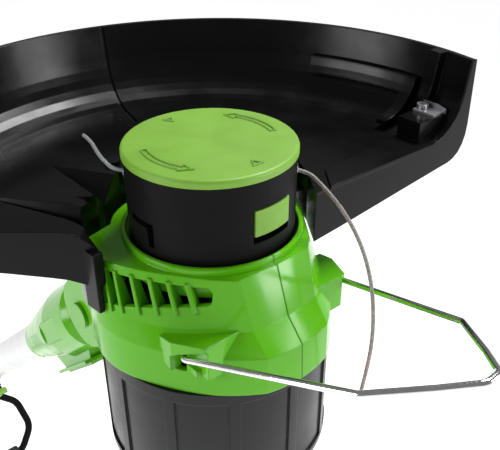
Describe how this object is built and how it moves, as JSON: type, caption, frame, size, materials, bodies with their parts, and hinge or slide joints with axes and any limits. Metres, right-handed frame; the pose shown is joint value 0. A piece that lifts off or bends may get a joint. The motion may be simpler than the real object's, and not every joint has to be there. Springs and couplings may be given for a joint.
{
  "type": "string trimmer",
  "caption": "Battery string trimmer with telescopic shaft, tilting motor head, line spool with snap cap, guard with line cutter, wire edge guide and two handles.",
  "frame": {"origin": "centre of the spool cap's outer face", "axes": "+Z out of the spool cap, toward the ground in use; +X forward, away from the operator; +Y to the operator's right in use"},
  "size_m": [1.1391, 0.3041, 0.8916],
  "materials": {
    "cap_lime": "fine matte",
    "housing_lime": "gloss moulded",
    "drum_black": "fine texture",
    "guard_black": "gloss moulded",
    "barrel_black": "satin gloss",
    "wire_chrome": "bright drawn wire",
    "line_grey": "extruded nylon",
    "steel": "machined",
    "magnet": "sintered",
    "copper": "enamelled winding",
    "brass": "turned",
    "tube_alu": "satin anodised",
    "grip_rubber": "soft grip",
    "zinc": "zinc plated",
    "pack_black": "fine texture"
  },
  "bodies": {
    "shaft_rear": {"upper_tube": "tube_alu", "front_clamp": "drum_black", "handle_stud": "drum_black", "handle_left": "housing_lime", "handle_right": "housing_lime", "grip_pad": "grip_rubber", "handle_screws": "zinc", "power_switch": "drum_black", "battery_terminals": "brass", "strap_eye": "zinc", "trigger_spring": "zinc"},
    "front_handle": {"front_handle": "drum_black", "front_grip": "grip_rubber"},
    "handle_knob": {"handle_knob": "drum_black"},
    "trigger": {"trigger": "drum_black"},
    "lock_button": {"lock_button": "drum_black"},
    "battery": {"battery_pack": "pack_black"},
    "battery_latch": {"battery_latch": "cap_lime"},
    "shaft_front": {"lower_tube": "tube_alu", "collar_left": "housing_lime", "collar_right": "housing_lime", "lock_collar": "drum_black", "lever_pin": "zinc"},
    "lock_lever": {"lock_lever": "cap_lime"},
    "motor_head": {"housing_left": "housing_lime", "housing_right": "housing_lime", "motor_barrel": "barrel_black", "motor_plate": "steel", "motor_screws": "zinc", "motor_can": "steel", "motor_magnets": "magnet", "bearings": "steel", "brushes": "magnet", "guard": "guard_black", "guard_screws": "drum_black", "line_cutter": "steel", "cutter_screw": "zinc", "pivot_pin": "housing_lime", "button_spring": "zinc"},
    "pivot_button": {"pivot_button": "housing_lime"},
    "edge_guide": {"edge_guide": "wire_chrome"},
    "spool_head": {"spool_cap": "cap_lime", "spool_housing": "drum_black", "housing_clips": "drum_black", "line_eyelets": "zinc", "drive_hub": "brass", "arbor_nut": "zinc", "motor_shaft": "steel", "rotor_core": "steel", "rotor_windings": "copper", "commutator": "copper", "cooling_fan": "drum_black", "feed_spring": "zinc", "line_front": "line_grey", "line_back": "line_grey"},
    "latch_front": {"latch_front": "cap_lime"},
    "latch_back": {"latch_back": "cap_lime"},
    "line_spool": {"line_spool": "drum_black", "line_winding": "line_grey"}
  },
  "joints": [
    {"name": "telescope_slide", "type": "slide", "parent": "shaft_rear", "child": "shaft_front", "axis": [-0.757, 0, -0.6534], "range_m": [0, 0.12]},
    {"name": "lock_lever_hinge", "type": "hinge", "parent": "shaft_front", "child": "lock_lever", "pos_m": [-0.4731, 0, -0.50666], "axis": [0, 1, 0], "range_deg": [0, 85]},
    {"name": "front_handle_tilt", "type": "hinge", "parent": "shaft_rear", "child": "front_handle", "pos_m": [-0.62982, 0, -0.60363], "axis": [0, 1, 0], "range_deg": [-35, 35]},
    {"name": "handle_knob_turn", "type": "hinge", "parent": "shaft_rear", "child": "handle_knob", "pos_m": [-0.62982, 0.04, -0.60363], "axis": [0, 1, 0], "continuous": true},
    {"name": "trigger_squeeze", "type": "hinge", "parent": "shaft_rear", "child": "trigger", "pos_m": [-0.72438, 0, -0.70374], "axis": [0, -1, 0], "range_deg": [0, 8], "stiffness_Nm_per_rad": 0.6, "springref_deg": -11.46, "deforming": ["trigger_spring"]},
    {"name": "lock_button_press", "type": "slide", "parent": "shaft_rear", "child": "lock_button", "axis": [-0.6534, 0, 0.757], "range_m": [0, 0.003], "stiffness_N_per_m": 500, "springref_m": -0.003},
    {"name": "battery_slide", "type": "slide", "parent": "shaft_rear", "child": "battery", "axis": [0.6534, 0, -0.757], "range_m": [0, 0.085]},
    {"name": "battery_latch_press", "type": "slide", "parent": "battery", "child": "battery_latch", "axis": [-0.6534, 0, 0.757], "range_m": [0, 0.003], "stiffness_N_per_m": 500, "springref_m": -0.003},
    {"name": "head_tilt", "type": "hinge", "parent": "shaft_front", "child": "motor_head", "pos_m": [-0.11355, 0, -0.15801], "axis": [0, 1, 0], "range_deg": [-30, 35]},
    {"name": "pivot_button_press", "type": "slide", "parent": "motor_head", "child": "pivot_button", "axis": [0, -1, 0], "range_m": [0, 0.003], "stiffness_N_per_m": 600, "springref_m": -0.003, "deforming": ["button_spring"]},
    {"name": "edge_guide_swing", "type": "hinge", "parent": "motor_head", "child": "edge_guide", "pos_m": [0.0368, 0, -0.0826], "axis": [0, 1, 0], "range_deg": [0, 45]},
    {"name": "head_spin", "type": "hinge", "parent": "motor_head", "child": "spool_head", "pos_m": [0, 0, -0.05], "axis": [0, 0, 1], "continuous": true, "deforming": ["line_front", "line_back"]},
    {"name": "latch_front_press", "type": "slide", "parent": "spool_head", "child": "latch_front", "axis": [-1, 0, 0], "range_m": [0, 0.0022], "stiffness_N_per_m": 500, "springref_m": -0.002},
    {"name": "latch_back_press", "type": "slide", "parent": "spool_head", "child": "latch_back", "axis": [1, 0, 0], "range_m": [0, 0.0022], "stiffness_N_per_m": 500, "springref_m": -0.002},
    {"name": "line_spool_turn", "type": "hinge", "parent": "spool_head", "child": "line_spool", "pos_m": [0, 0, -0.028], "axis": [0, 0, 1], "continuous": true}
  ]
}
